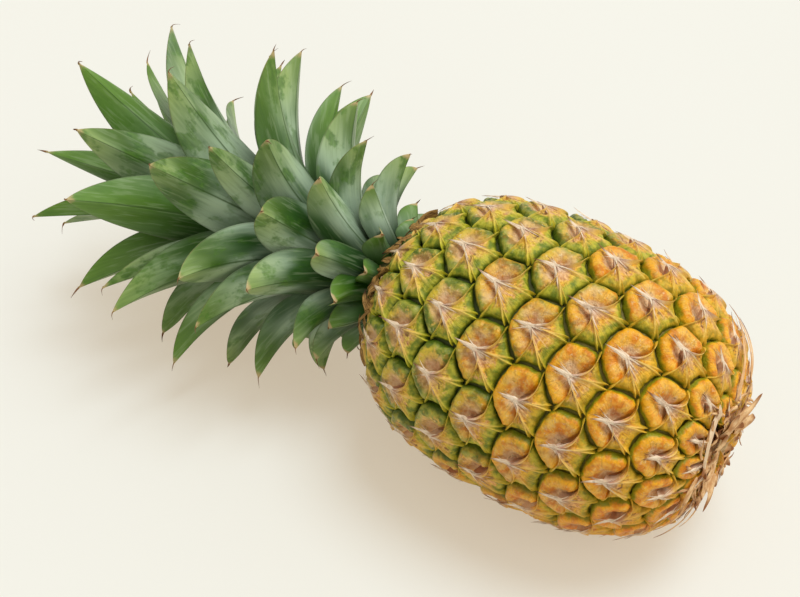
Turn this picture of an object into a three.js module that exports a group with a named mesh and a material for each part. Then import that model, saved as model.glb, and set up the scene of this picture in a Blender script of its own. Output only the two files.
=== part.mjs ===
// Pineapple lying on its side: the fruit, its leafy crown, the cut stalk and dry basal bracts.
// Millimetres, +Z up. The long axis lies along X: the crown points to -X and the cut stalk to +X.
// The origin is on the small flat that the fruit rests on.
import * as THREE from 'three';

// ---- Driving dimensions ----
const FRUIT_LENGTH = 165; // from the crown's collar to the cut end
const FRUIT_RADIUS = 62.5; // at the widest place, over the swollen eyes
const WIDEST_AT = 86; // from the crown end
const AXIS_HEIGHT = 61.2; // of the fruit's axis: the eyes beneath are pressed flat on the ground
const CROWN_SHOULDER = { power: 3.0, root: 0.366 }; // roundness of each end's outline
const BASE_SHOULDER = { power: 2.4, root: 0.353 };
const COLLAR_HOLLOW = 1.5; // depth of the crown end's middle
const GAP = 0.3; // between neighbouring pieces
const OUTLINE_STEPS = 4000; // places worked out along the outline
const LEAST_RADIUS = 0.5; // of any point of the outline

// Eyes: one spiral with 15 and 11 visible rows, evenly spaced along the outline
const EYE_COUNT = 114;
const EYE_ROWS = { steep: 15, shallow: 11 };
const EYE_TURN = THREE.MathUtils.degToRad(263.37); // from one eye to the next
const EYE_STEP = 1.52; // along the outline, from one eye to the next
const FIRST_EYE_AT = 33.9; // along the outline from the crown end's centre
const FIRST_EYE_ANGLE = THREE.MathUtils.degToRad(201);
const GROOVE_DEPTH = 3.2; // below the eyes' swollen faces
const EYE_SHOULDER = 0.64; // of the eye's width, where its face meets the groove's side
const EYE_TIP_RISE = 2.6; // of the dry bract's point over the face
const EYE_TIP_SHIFT = 0.34; // of the point towards the crown, as a share of the eye's length
const REST_FLAT = { x: 74, halfLength: 34, halfWidth: 17 }; // where its weight presses the eyes flat

// Crown leaves: one spiral from the collar to the tip, each leaf a little over a third of a turn on
const LEAF_TURN = THREE.MathUtils.degToRad(-138.4);
const FIRST_LEAF_ANGLE = THREE.MathUtils.degToRad(-41);
const SPIRAL_LEAVES = 60; // places on the whole spiral
const FIRST_LEAF = 10; // the tiny collar scales before it are left out
const CROWN_LEAN = { side: -0.08, up: 0.085 }; // drift of the crown's axis for each millimetre along it
const STEM = { length: 80, collarRadius: 24, tipRadius: 4, flare: 1.8, cap: 3, sides: 18 };
const STEM_RINGS = [0, 10, 22, 36, 54, STEM.length]; // distances from the collar
const FEET_CROWDING = 1.7; // how far the lowest leaves crowd towards the collar
const LEAF_THICKNESS = 2.2;
const LEAF_FOOT = 8.5; // width where a leaf leaves the stem
const LEAF_WIDEST_AT = 0.5; // as a share of the leaf's length
const LEAF_POINT = 0.85; // how straight the blade's edges run to the tip
const LEAF_SWELL = 1.2; // how slowly the blade widens from its foot
const LEAF_BEND = 0.5; // how far along its length a leaf keeps its first direction
const LEAF_CHANNEL = 0.2; // depth of the leaf's gutter, as a share of its width
const LEAF_GUTTER_ROUND = 1.4; // 1 is a sharp fold, 2 is a round gutter
const LEAF_THIN_POINT = 0.35; // thickness at the point, as a share of the blade's
const LEAF_STATIONS = [0, 0.12, 0.25, 0.4, 0.55, 0.7, 0.84, 0.94]; // shares of the leaf's length
const FLOOR_EASE = 16; // height over the ground at which a low leaf starts to bend flat

// At six even places along the spiral: the leaf tips' distance from the collar and from the axis,
// the leaves' width, and the angle between a leaf's start and the axis, in degrees
const TIP_REACH = [4, 17, 37, 72, 121, 175];
const TIP_SPREAD = [28, 50, 63, 82, 76, 49];
const LEAF_WIDTH = [13, 18, 24, 28, 29, 23];
const LEAF_RISE = [60, 48, 38, 30, 24, 12];

// Leaves stray from the even spiral in two waves: how far they turn in degrees, how far the tip's
// spread and reach shift, and each wave's step from leaf to leaf in radians
const STRAY = { turn: 3, spread: 3, step: 2.1, reach: 6, reachStep: 1.7 };

// Leaves that grow between the spiral's places: angle from straight up in degrees, place along the
// spiral, and width. Their tips stand closer to the axis than the spiral's by the same share
const EXTRA_LEAVES = [
  { angle: 60, place: 36, width: 20 },
  { angle: 335, place: 36, width: 18 },
  { angle: 45, place: 43, width: 16 },
  { angle: 260, place: 45, width: 18 },
];
const EXTRA_SPREAD = 0.9;

// Cut stalk, in the dish at the fruit's base, and the dry bracts folded over the base's rim
const BASE_DISH = 11; // depth
const STALK = { radius: 11, from: 158, to: 164, edge: 1, sides: 20 };
const BRACT = { foot: 22, height: 3.2, thickness: 1.2, lift: 1.5 };
const BRACT_STATIONS = [0, 0.3, 0.6, 0.85]; // shares of the bract's length
const BASAL_BRACTS = [
  { angle: 60, length: 22, width: 18 },
  { angle: 200, length: 20, width: 20 },
  { angle: 320, length: 24, width: 20 },
];

const MATERIALS = {
  rind: { color: 0xc98f2c, roughness: 0.55, metalness: 0 },
  leaf: { color: 0x5f8465, roughness: 0.5, metalness: 0 },
  stem: { color: 0x8b8a55, roughness: 0.7, metalness: 0 },
  dry: { color: 0xb08a58, roughness: 0.85, metalness: 0 },
};

// ---- Helpers ----
function material(name) {
  return new THREE.MeshStandardMaterial(MATERIALS[name]);
}

// A value between evenly spaced knots, t from 0 to 1
function along(knots, t) {
  const place = THREE.MathUtils.clamp(t, 0, 1) * (knots.length - 1);
  const low = Math.min(Math.floor(place), knots.length - 2);
  return THREE.MathUtils.lerp(knots[low], knots[low + 1], place - low);
}

// A point at axial place x, distance r from the axis and angle a from straight up, towards +Y
function around(x, r, a) {
  return new THREE.Vector3(x, r * Math.sin(a), r * Math.cos(a));
}

function meshFrom(name, points, faces, kind) {
  const geometry = new THREE.BufferGeometry();
  const places = points.flatMap((p) => p.toArray());
  geometry.setAttribute('position', new THREE.Float32BufferAttribute(places, 3));
  geometry.setIndex(faces.flat());
  geometry.computeVertexNormals();
  const mesh = new THREE.Mesh(geometry, material(kind));
  mesh.name = name;
  return mesh;
}

// ---- Fruit ----
// Outline radius at x from the crown end: one rounded shoulder on each side of the widest place
function outlineRadius(x) {
  const crownSide = x < WIDEST_AT;
  const { power, root } = crownSide ? CROWN_SHOULDER : BASE_SHOULDER;
  const span = crownSide ? WIDEST_AT : FRUIT_LENGTH - WIDEST_AT;
  const u = Math.min(Math.abs(x - WIDEST_AT) / span, 1);
  return FRUIT_RADIUS * Math.pow(1 - Math.pow(u, power), root);
}

// Places evenly spaced along the outline, as [x, r] pairs with the distance walked
function walkOutline() {
  const walk = [{ x: 0, r: 0, distance: 0 }];
  for (let i = 1; i <= OUTLINE_STEPS; i++) {
    const x = FRUIT_LENGTH * 0.5 * (1 - Math.cos((Math.PI * i) / OUTLINE_STEPS));
    const r = outlineRadius(x);
    const last = walk[walk.length - 1];
    walk.push({ x, r, distance: last.distance + Math.hypot(x - last.x, r - last.r) });
  }
  return walk;
}

const OUTLINE = walkOutline();
const OUTLINE_WALK = OUTLINE[OUTLINE.length - 1].distance;

// The outline's place and outward normal at a walked distance from the crown end
function outlineAt(distance) {
  const d = THREE.MathUtils.clamp(distance, 0, OUTLINE_WALK);
  const i = Math.max(1, OUTLINE.findIndex((p) => p.distance >= d));
  const [a, b] = [OUTLINE[i - 1], OUTLINE[i]];
  const t = (d - a.distance) / Math.max(b.distance - a.distance, 1e-9);
  const slope = Math.hypot(b.x - a.x, b.r - a.r);
  return {
    x: a.x + t * (b.x - a.x),
    r: a.r + t * (b.r - a.r),
    nx: -(b.r - a.r) / slope,
    nr: (b.x - a.x) / slope,
  };
}

function onFruit(distance, angle, height) {
  const at = outlineAt(distance);
  const point = around(at.x + height * at.nx, Math.max(at.r + height * at.nr, LEAST_RADIUS), angle);
  if (isPressed(point)) point.z = -AXIS_HEIGHT;
  point.z = Math.max(point.z, -AXIS_HEIGHT);
  return point;
}

function isPressed(point) {
  const { x, halfLength, halfWidth } = REST_FLAT;
  return point.z < 0 && Math.hypot((point.x - x) / halfLength, point.y / halfWidth) < 1;
}

// Unrolled place of eye number n
function eyePlace(n) {
  return { distance: FIRST_EYE_AT + EYE_STEP * n, angle: FIRST_EYE_ANGLE + EYE_TURN * n };
}

// The step from one eye to the eye `jump` further, with the turn taken the short way
function eyeStep(jump) {
  const turn = EYE_TURN * jump;
  return { distance: EYE_STEP * jump, angle: turn - 2 * Math.PI * Math.round(turn / (2 * Math.PI)) };
}

// Jumps along the spiral to an eye's six neighbours, in order round it
const NEIGHBOURS = [
  EYE_ROWS.steep,
  EYE_ROWS.shallow,
  EYE_ROWS.shallow - EYE_ROWS.steep,
  -EYE_ROWS.steep,
  -EYE_ROWS.shallow,
  EYE_ROWS.steep - EYE_ROWS.shallow,
];

// The six corners of an eye's cell. Each is the middle of three eyes, whose numbers make its key.
function cellCorners(n) {
  const eye = eyePlace(n);
  return NEIGHBOURS.map((jump, i) => {
    const nextJump = NEIGHBOURS[(i + 1) % NEIGHBOURS.length];
    const [step, next] = [eyeStep(jump), eyeStep(nextJump)];
    return {
      key: [n, n + jump, n + nextJump].sort((p, q) => p - q).join('_'),
      distance: eye.distance + (step.distance + next.distance) / 3,
      angle: eye.angle + (step.angle + next.angle) / 3,
    };
  });
}

function makeFruit() {
  const points = [];
  const faces = [];
  const corners = new Map();
  const add = (p) => points.push(p) - 1;
  const cornerIndex = ({ key, distance, angle }) => {
    if (!corners.has(key)) corners.set(key, add(onFruit(distance, angle, -GROOVE_DEPTH)));
    return corners.get(key);
  };
  for (let n = 0; n < EYE_COUNT; n++) {
    const eye = eyePlace(n);
    const ring = cellCorners(n);
    const outer = ring.map(cornerIndex);
    const inner = ring.map((corner) => add(onFruit(
      THREE.MathUtils.lerp(eye.distance, corner.distance, EYE_SHOULDER),
      THREE.MathUtils.lerp(eye.angle, corner.angle, EYE_SHOULDER),
      0,
    )));
    const length = eyeStep(EYE_ROWS.steep).distance;
    const tip = add(onFruit(eye.distance - EYE_TIP_SHIFT * length, eye.angle, EYE_TIP_RISE));
    ring.forEach((_, i) => {
      const j = (i + 1) % ring.length;
      faces.push([outer[i], outer[j], inner[j]], [outer[i], inner[j], inner[i]]);
      faces.push([inner[i], inner[j], tip]);
    });
  }
  closeEnds(points, faces);
  return meshFrom('fruit', points, faces, 'rind');
}

// Open edges run round each end; each end is closed with a fan to a point on the axis
function closeEnds(points, faces) {
  const edges = new Map();
  faces.forEach((face) => face.forEach((from, i) => {
    const to = face[(i + 1) % 3];
    if (!edges.delete(`${to}_${from}`)) edges.set(`${from}_${to}`, [from, to]);
  }));
  const crownEnd = points.push(around(COLLAR_HOLLOW, 0, 0)) - 1;
  const baseEnd = points.push(around(FRUIT_LENGTH - BASE_DISH, 0, 0)) - 1;
  edges.forEach(([from, to]) => {
    const end = points[from].x < WIDEST_AT ? crownEnd : baseEnd;
    faces.push([to, from, end]);
  });
}

// ---- Lofted blades, for the leaves and the bracts ----
// Rings run from the foot to the point, each with its points in order round the blade
function loft(name, rings, tipPoint, kind) {
  const points = rings.flat();
  const faces = [];
  const count = rings[0].length;
  const tip = points.push(tipPoint) - 1;
  const last = (rings.length - 1) * count;
  for (let r = 0; r + 1 < rings.length; r++) {
    for (let i = 0; i < count; i++) {
      const [a, b] = [r * count + i, r * count + ((i + 1) % count)];
      faces.push([a, b, b + count], [a, b + count, a + count]);
    }
  }
  for (let i = 0; i < count; i++) faces.push([last + i, last + ((i + 1) % count), tip]);
  faces.push(...footFaces(count));
  return meshFrom(name, points, faces, kind);
}

// A foot's crescent section, closed by a strip of triangles between its back and its hollow side
function footFaces(count) {
  const half = count / 2;
  const faces = [[0, count - 1, 1]];
  for (let i = 1; i < half; i++) {
    faces.push([i, count - i, i + 1]);
    if (i + 1 < half) faces.push([count - i, count - i - 1, i + 1]);
  }
  return faces;
}

// ---- Crown ----
// Moves a point of an upright crown to its place in the leaning one
function lean(point) {
  point.y -= point.x * CROWN_LEAN.side;
  point.z -= point.x * CROWN_LEAN.up;
  return point;
}

// The stem is widest at the collar, where the feet of the outer leaves crowd round it
function stemRadius(reach) {
  const left = 1 - THREE.MathUtils.clamp(reach / STEM.length, 0, 1);
  return STEM.tipRadius + (STEM.collarRadius - STEM.tipRadius) * Math.pow(left, STEM.flare);
}

function makeStem() {
  const rims = STEM_RINGS.map((reach) => [stemRadius(reach), reach]);
  const profile = [[0, 0], ...rims, [0, STEM.length + STEM.cap]];
  const outline = profile.map(([r, y]) => new THREE.Vector2(r, y));
  const lathe = new THREE.LatheGeometry(outline, STEM.sides);
  lathe.rotateZ(Math.PI / 2);
  lathe.translate(-GAP, 0, 0);
  const places = lathe.getAttribute('position');
  for (let i = 0; i < places.count; i++) {
    const point = lean(new THREE.Vector3().fromBufferAttribute(places, i));
    places.setXYZ(i, point.x, point.y, point.z);
  }
  const mesh = new THREE.Mesh(lathe, material('stem'));
  mesh.name = 'crown_stem';
  return mesh;
}

// Where a leaf at a place along the spiral sits on the stem, and where its tip reaches
function leafPlan(place) {
  const t = place / (SPIRAL_LEAVES - 1);
  const start = 1 + (STEM.length - 3) * Math.pow(t, FEET_CROWDING);
  const rise = THREE.MathUtils.degToRad(along(LEAF_RISE, t));
  const footClearance = (LEAF_THICKNESS / 2 + LEAF_FOOT * LEAF_CHANNEL) * Math.cos(rise) + 2 * GAP;
  return {
    angle: FIRST_LEAF_ANGLE + LEAF_TURN * place,
    start,
    startRadius: stemRadius(start) + footClearance,
    rise,
    reach: along(TIP_REACH, t),
    spread: along(TIP_SPREAD, t),
    width: along(LEAF_WIDTH, t),
  };
}

function crownPlans() {
  const plans = [];
  for (let k = FIRST_LEAF; k < SPIRAL_LEAVES; k++) {
    const plan = leafPlan(k);
    plan.angle -= THREE.MathUtils.degToRad(STRAY.turn * Math.sin(STRAY.step * k));
    plan.spread += STRAY.spread * Math.cos(STRAY.step * k);
    plan.reach -= STRAY.reach * Math.sin(STRAY.reachStep * k);
    plans.push(plan);
  }
  EXTRA_LEAVES.forEach(({ angle, place, width }) => {
    const plan = leafPlan(place);
    const spread = EXTRA_SPREAD * plan.spread;
    plans.push({ ...plan, spread, width, angle: THREE.MathUtils.degToRad(angle) });
  });
  return plans;
}

// The leaf's middle line in the plane of the axis: reach from the collar, distance from the axis
function leafLine(plan) {
  const from = new THREE.Vector2(plan.start, plan.startRadius);
  const to = new THREE.Vector2(plan.reach, plan.spread);
  const bend = from.distanceTo(to) * LEAF_BEND;
  const heading = new THREE.Vector2(Math.cos(plan.rise), Math.sin(plan.rise));
  const middle = from.clone().addScaledVector(heading, bend);
  return new THREE.QuadraticBezierCurve(from, middle, to);
}

// Width of the blade: a narrow foot, widest near the middle, then a long point
function bladeWidth(plan, t) {
  if (t < LEAF_WIDEST_AT) {
    const grown = Math.pow(Math.sin((Math.PI / 2) * (t / LEAF_WIDEST_AT)), LEAF_SWELL);
    return THREE.MathUtils.lerp(LEAF_FOOT, plan.width, grown);
  }
  const u = (t - LEAF_WIDEST_AT) / (1 - LEAF_WIDEST_AT);
  return plan.width * Math.pow(1 - u * u, LEAF_POINT);
}

// One section across the blade: over the back from edge to edge, then back along the gutter
function leafSection(plan, line, t) {
  const at = line.getPoint(t);
  const tangent = line.getTangent(t);
  const width = bladeWidth(plan, t);
  const depth = width * LEAF_CHANNEL;
  const thick = LEAF_THICKNESS * THREE.MathUtils.lerp(LEAF_THIN_POINT, 1, width / plan.width);
  const across = [-1, -0.5, 0, 0.5, 1, 0.5, 0, -0.5];
  return across.map((u, i) => {
    const outwards = Math.abs(u) === 1 ? 0 : thick / (i < 4 ? -2 : 2);
    const lift = depth * Math.pow(Math.abs(u), LEAF_GUTTER_ROUND) + outwards; // towards the gutter's side
    const radial = at.y - lift * tangent.x;
    const side = (u * width) / 2;
    const place = around(
      -(at.x + lift * tangent.y) - GAP,
      Math.hypot(radial, side),
      plan.angle + Math.atan2(side, radial),
    );
    return easeOntoGround(lean(place));
  });
}

// Leaves near the ground bend flat above it
function easeOntoGround(point) {
  const limit = -AXIS_HEIGHT + FLOOR_EASE;
  if (point.z < limit) point.z = limit - FLOOR_EASE * (1 - Math.exp(-(limit - point.z) / FLOOR_EASE));
  return point;
}

function makeLeaf(plan, number) {
  const line = leafLine(plan);
  const rings = LEAF_STATIONS.map((t) => leafSection(plan, line, t));
  const end = line.getPoint(1);
  const tip = easeOntoGround(lean(around(-end.x - GAP, end.y, plan.angle)));
  return loft(`crown_leaf_${String(number).padStart(2, '0')}`, rings, tip, 'leaf');
}

// ---- Base ----
function makeStalk() {
  const { radius, from, to, edge, sides } = STALK;
  const length = to - from;
  const rims = [[radius - edge, 0], [radius, edge], [radius, length - edge], [radius - edge, length]];
  const profile = [[0, 0], ...rims, [0, length]];
  const outline = profile.map(([r, y]) => new THREE.Vector2(r, y));
  const lathe = new THREE.LatheGeometry(outline, sides);
  lathe.rotateZ(-Math.PI / 2);
  const mesh = new THREE.Mesh(lathe, material('dry'));
  mesh.name = 'cut_stalk';
  mesh.position.x = from;
  return mesh;
}

// A dry bract lies over the eyes from the base's rim towards the crown, with its point lifted
function makeBract(bract, number) {
  const angle = THREE.MathUtils.degToRad(bract.angle);
  const section = (t) => {
    const at = outlineAt(OUTLINE_WALK - BRACT.foot - bract.length * t);
    const half = (bract.width / 2) * Math.sqrt(1 - t * t);
    const height = BRACT.height + BRACT.lift * t * t;
    const point = (u, extra) => {
      const r = at.r + (height + extra) * at.nr;
      return around(at.x + (height + extra) * at.nx, r, angle + (u * half) / r);
    };
    return [point(-1, 0), point(0, BRACT.thickness), point(1, 0), point(0, 0)];
  };
  const tip = section(1)[3];
  return loft(`basal_bract_${number}`, BRACT_STATIONS.map(section), tip, 'dry');
}

// ---- Assembly ----
const pineapple = new THREE.Group();
pineapple.add(makeFruit(), makeStem(), makeStalk());
crownPlans().forEach((plan, i) => pineapple.add(makeLeaf(plan, i + 1)));
BASAL_BRACTS.forEach((bract, i) => pineapple.add(makeBract(bract, i + 1)));
pineapple.position.set(-REST_FLAT.x, 0, AXIS_HEIGHT);

export default pineapple;
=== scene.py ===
"""Looks of a whole pineapple lying on its side: rind, eyes, crown and dry base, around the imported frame.

Shapes are worked out in millimetres in the fruit's own frame: x runs along the axis from the crown's
collar to the cut end, and the axis is the origin of y and z. Pieces are then put in metres in the row
frame.
"""

import math

import bpy
import numpy as np
from mathutils import Matrix, Vector


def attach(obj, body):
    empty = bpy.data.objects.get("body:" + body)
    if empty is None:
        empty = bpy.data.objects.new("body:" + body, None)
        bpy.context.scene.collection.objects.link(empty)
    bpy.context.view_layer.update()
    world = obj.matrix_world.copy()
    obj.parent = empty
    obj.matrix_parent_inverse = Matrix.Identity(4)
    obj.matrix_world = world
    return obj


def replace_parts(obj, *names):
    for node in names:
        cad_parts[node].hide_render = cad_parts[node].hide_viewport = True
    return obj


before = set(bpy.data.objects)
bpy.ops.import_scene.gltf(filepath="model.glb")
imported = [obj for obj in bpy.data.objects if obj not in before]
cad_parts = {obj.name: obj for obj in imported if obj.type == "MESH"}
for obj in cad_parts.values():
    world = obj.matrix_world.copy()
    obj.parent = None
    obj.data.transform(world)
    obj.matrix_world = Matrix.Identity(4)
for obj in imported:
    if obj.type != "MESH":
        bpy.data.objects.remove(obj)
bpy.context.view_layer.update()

# ---- Dimensions, most of them as in the solids ----
FRUIT_LENGTH = 165.0
FRUIT_RADIUS = 62.5
WIDEST_AT = 86.0
AXIS_HEIGHT = 61.2
REST_X = 74.0
CROWN_SHOULDER = (3.0, 0.366)
BASE_SHOULDER = (2.4, 0.353)
EYE_TURN = math.radians(263.37)
EYE_STEP = 1.52
FIRST_EYE_AT = 33.9
FIRST_EYE_ANGLE = math.radians(201)
STEEP, SHALLOW = 15, 11
FIRST_EYE, LAST_EYE = -8, 128
BASE_DISH = 11.0
GROUND_CLEARANCE = 0.05
GROUND_SOFTNESS = 1.2  # height over the ground at which a pressed eye starts to flatten

LEAF_TURN = -138.4
FIRST_LEAF_ANGLE = -41.0
SPIRAL_LEAVES = 60
CROWN_LEAN = {"side": -0.08, "up": 0.085}
STEM_LENGTH, STEM_COLLAR, STEM_TIP, STEM_FLARE = 80.0, 24.0, 4.0, 1.8
FEET_CROWDING = 1.7
FLOOR_EASE = 16.0
# At even places along the spiral: the tips' distance from the collar and from the axis, the leaves'
# width, and the angle between a leaf's start and the axis, in degrees
TIP_REACH = [4, 17, 37, 72, 121, 175]
TIP_SPREAD = [28, 50, 63, 82, 76, 49]
LEAF_WIDTH = [13, 18, 24, 28, 29, 23]
LEAF_RISE = [60, 48, 38, 30, 24, 12]
# Leaves stray from the even spiral in two waves: turn in degrees, spread and reach of the tip, and
# each wave's step from leaf to leaf in radians
STRAY = {"turn": 3, "spread": 3, "step": 2.1, "reach": 6, "reach_step": 1.7}
EXTRA_LEAVES = [  # angle, place on the spiral, width, twist
    (60, 36, 20, -0.4), (335, 36, 18, 0.0), (45, 43, 20, -0.5), (260, 45, 18, 0.0),
]
EXTRA_SPREAD = 0.9
# Leaves that turn over more on the way to the tip, by place on the spiral, in radians
TWISTED_LEAVES = {28: -0.5, 33: -0.6, 36: 0.5, 41: -0.6, 49: 0.35, 54: -0.6}
FIRST_LEAF = 10
# Leaves that show a deeper green with less bloom, by number, and how much
DEEP_LEAVES = {
    24: 0.8, 27: 0.5, 28: 0.5, 33: 0.4, 36: 0.4, 38: 0.9,
    41: 0.9, 46: 0.9, 48: 0.9, 50: 0.4, 51: 0.8, 53: 0.9,
}

# Each kind of part draws from generators of its own, which start from these
BRACT_SEED, TIP_SEED, LEAF_SEED, COLLAR_SEED = 1000, 2000, 3000, 4000
RIM_SEED, LOOSE_SEED, FIBRE_SEED = 5000, 5100, 5200
GOLDEN_TURN = 2.399963  # in radians

# The photo's view: lift and swing in degrees, the rest in millimetres
CAMERA_LIFT, CAMERA_SWING = 46.30, 35.24
CAMERA_LEFT, CAMERA_UP, CAMERA_BACK = 67.76, 29.05, 776.26
CAMERA_MIDDLE = 8.7
CAMERA_LENS, CAMERA_SENSOR = 79.9, 36
FLOOR_HALF = 6.0  # in metres

rng = np.random.default_rng(7)


def shares(count):
    """Even shares from 0 to 1."""
    return np.linspace(0, 1, count)


def own_random(seed, rand):
    """A generator for one eye or leaf, from its random share."""
    return np.random.default_rng(seed + int(rand * 1e6))


def new_object(name, data):
    obj = bpy.data.objects.new(name, data)
    bpy.context.scene.collection.objects.link(obj)
    return obj


# ---- Camera, light and ground ----
def make_camera():
    data = bpy.data.cameras.new("camera")
    camera = new_object("camera", data)
    lift, swing = math.radians(CAMERA_LIFT), math.radians(CAMERA_SWING)
    back = Vector((math.cos(lift) * math.sin(swing), -math.cos(lift) * math.cos(swing), math.sin(lift)))
    right = Vector((math.cos(swing), math.sin(swing), 0))
    up = back.cross(right)
    middle = Vector((CAMERA_MIDDLE, 0, AXIS_HEIGHT))
    camera.location = (middle - CAMERA_LEFT * right + CAMERA_UP * up + CAMERA_BACK * back) / 1000
    camera.rotation_euler = Matrix((right, up, back)).transposed().to_euler()
    data.sensor_width = CAMERA_SENSOR
    data.lens = CAMERA_LENS
    data.clip_start = 0.01
    bpy.context.scene.camera = camera
    return back, right


def make_sun(name, towards, spread, strength, colour):
    """A broad, even light that stands in the given direction, spread over some degrees."""
    data = bpy.data.lights.new(name, "SUN")
    data.angle = math.radians(spread)
    data.energy = strength
    data.color = colour
    light = new_object(name, data)
    light.location = towards
    light.rotation_euler = Vector(towards).to_track_quat("Z", "Y").to_euler()


camera_back, camera_right = make_camera()
away = Vector((-camera_back.x, -camera_back.y, 0)).normalized()
make_sun("key", camera_right * 0.42 + away * 0.20 + Vector((0, 0, 1.5)), 32, 1.80, (0.96, 0.98, 1.0))
make_sun("side", camera_right * 1.5 - away * 0.2 + Vector((0, 0, 0.8)), 70, 0.60, (1.0, 0.98, 0.94))


# ---- Node materials ----
# Painted warm shade: a tint multiplied into the pads and bracts of the eyes that face down
UNDERSIDE_SHADE_TINT = (255, 240, 205)


def srgb(r, g, b):
    """Linear colour of an 8-bit display colour."""
    return tuple(((c / 255 + 0.055) / 1.055) ** 2.4 if c > 10 else c / 3295 for c in (r, g, b)) + (1.0,)


class Shader:
    """Builds one node material, each method adding a node and giving its output."""

    def __init__(self, name):
        self.material = bpy.data.materials.new(name)
        self.material.use_nodes = True
        self.tree = self.material.node_tree
        self.tree.nodes.clear()
        self.bsdf = self.node("BsdfPrincipled")
        self.node("OutputMaterial", Surface=self.bsdf.outputs[0])

    def put(self, socket, value):
        if isinstance(value, bpy.types.NodeSocket):
            self.tree.links.new(value, socket)
        else:
            socket.default_value = value

    def node(self, kind, *values, **named):
        """A new node, with its first inputs set in order and others by name."""
        node = self.tree.nodes.new("ShaderNode" + kind)
        for socket, value in zip(node.inputs, values):
            self.put(socket, value)
        for name, value in named.items():
            self.put(node.inputs[name], value)
        return node

    def attr(self, name):
        node = self.node("Attribute")
        node.attribute_name = name
        return node.outputs["Fac"]

    def place(self, scale=(1, 1, 1)):
        """Object coordinates in millimetres, times scale."""
        coords = self.node("TexCoord").outputs["Object"]
        return self.node("Mapping", Vector=coords, Scale=[1000 * s for s in scale]).outputs[0]

    def join(self, x, y, z):
        return self.node("CombineXYZ", x, y, z).outputs[0]

    def noise(self, size, detail=3.0, rough=0.55, vector=None, warp=0.0):
        """Noise with features about size millimetres across."""
        vector = self.place() if vector is None else vector
        looks = {"Detail": detail, "Roughness": rough, "Distortion": warp}
        return self.node("TexNoise", Vector=vector, Scale=1 / size, **looks).outputs["Fac"]

    def math(self, kind, *values):
        node = self.node("Math", *values)
        node.operation = kind
        return node.outputs[0]

    def times(self, a, b):
        return self.math("MULTIPLY", a, b)

    def scaled(self, value, factor, plus):
        """value times factor, plus another value."""
        return self.math("MULTIPLY_ADD", value, factor, plus)

    def span(self, value, low, high, out_low=0.0, out_high=1.0):
        """value mapped smoothly from low..high to out_low..out_high, held at the ends."""
        node = self.node("MapRange", value, low, high, out_low, out_high)
        node.interpolation_type = "SMOOTHSTEP"
        return node.outputs[0]

    def ramp(self, value, stops):
        node = self.node("ValToRGB", value)
        ramp = node.color_ramp
        while len(ramp.elements) < len(stops):
            ramp.elements.new(0.5)
        for element, (place, colour) in zip(ramp.elements, stops):
            element.position = place
            element.color = srgb(*colour)
        return node.outputs["Color"]

    def mix(self, share, a, b, kind="MIX"):
        node = self.node("Mix", share)
        node.data_type = "RGBA"
        node.blend_type = kind
        for socket, colour in zip(node.inputs[6:8], (a, b)):
            self.put(socket, srgb(*colour) if isinstance(colour, tuple) else colour)
        return node.outputs[2]

    def mottle(self, noise, a, b):
        """Two colours in patches, about as much of each."""
        return self.mix(self.span(noise, 0.35, 0.65), a, b)

    def with_underside_shade(self, colour):
        """The colour with painted warm shade multiplied in by the warm value of each point, which grows on
        eyes that face down.
        """
        return self.mix(self.attr("warm"), colour, self.mix(1.0, colour, UNDERSIDE_SHADE_TINT, "MULTIPLY"))

    def bump(self, height, millimetres, strength):
        node = self.node("Bump", Height=height, Distance=millimetres / 1000, Strength=strength)
        self.put(self.bsdf.inputs["Normal"], node.outputs[0])

    def finish(self, colour, rough, specular=0.5):
        for name, value in (("Base Color", colour), ("Roughness", rough), ("Specular IOR Level", specular)):
            self.put(self.bsdf.inputs[name], value)
        return self.material


def floor_material():
    """Pale ground. Where it is seen, part of its tone is its own glow, so that the shadow stays light."""
    s = Shader("studio_floor")
    path = s.node("LightPath")
    seen = s.math("MAXIMUM", path.outputs["Is Camera Ray"], path.outputs["Is Glossy Ray"])
    seen = s.math("MAXIMUM", seen, path.outputs["Is Transmission Ray"])
    tone = s.mix(s.span(s.noise(400, 1.0), 0.3, 0.7), (169, 184, 189), (167, 182, 187))
    s.bsdf.inputs["Emission Color"].default_value = srgb(187, 169, 146)
    s.put(s.bsdf.inputs["Emission Strength"], seen)
    return s.finish(s.mix(seen, (225, 221, 212), tone), 0.9, 0.0)


def rind_material():
    s = Shader("rind_green")
    ripe, dry = s.attr("ripe"), s.attr("dry")
    grain = s.noise(2.2, 4, 0.6)
    green = s.mix(grain, (40, 54, 8), (86, 100, 18))
    gold = s.mix(grain, (84, 84, 10), (164, 140, 26))
    colour = s.mix(s.span(ripe, 0.3, 1.0), green, gold)
    brown = s.mottle(grain, (132, 88, 58), (206, 160, 118))
    colour = s.mix(dry, colour, brown)
    s.bump(grain, 0.6, 0.6)
    return s.finish(colour, 0.6)


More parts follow.
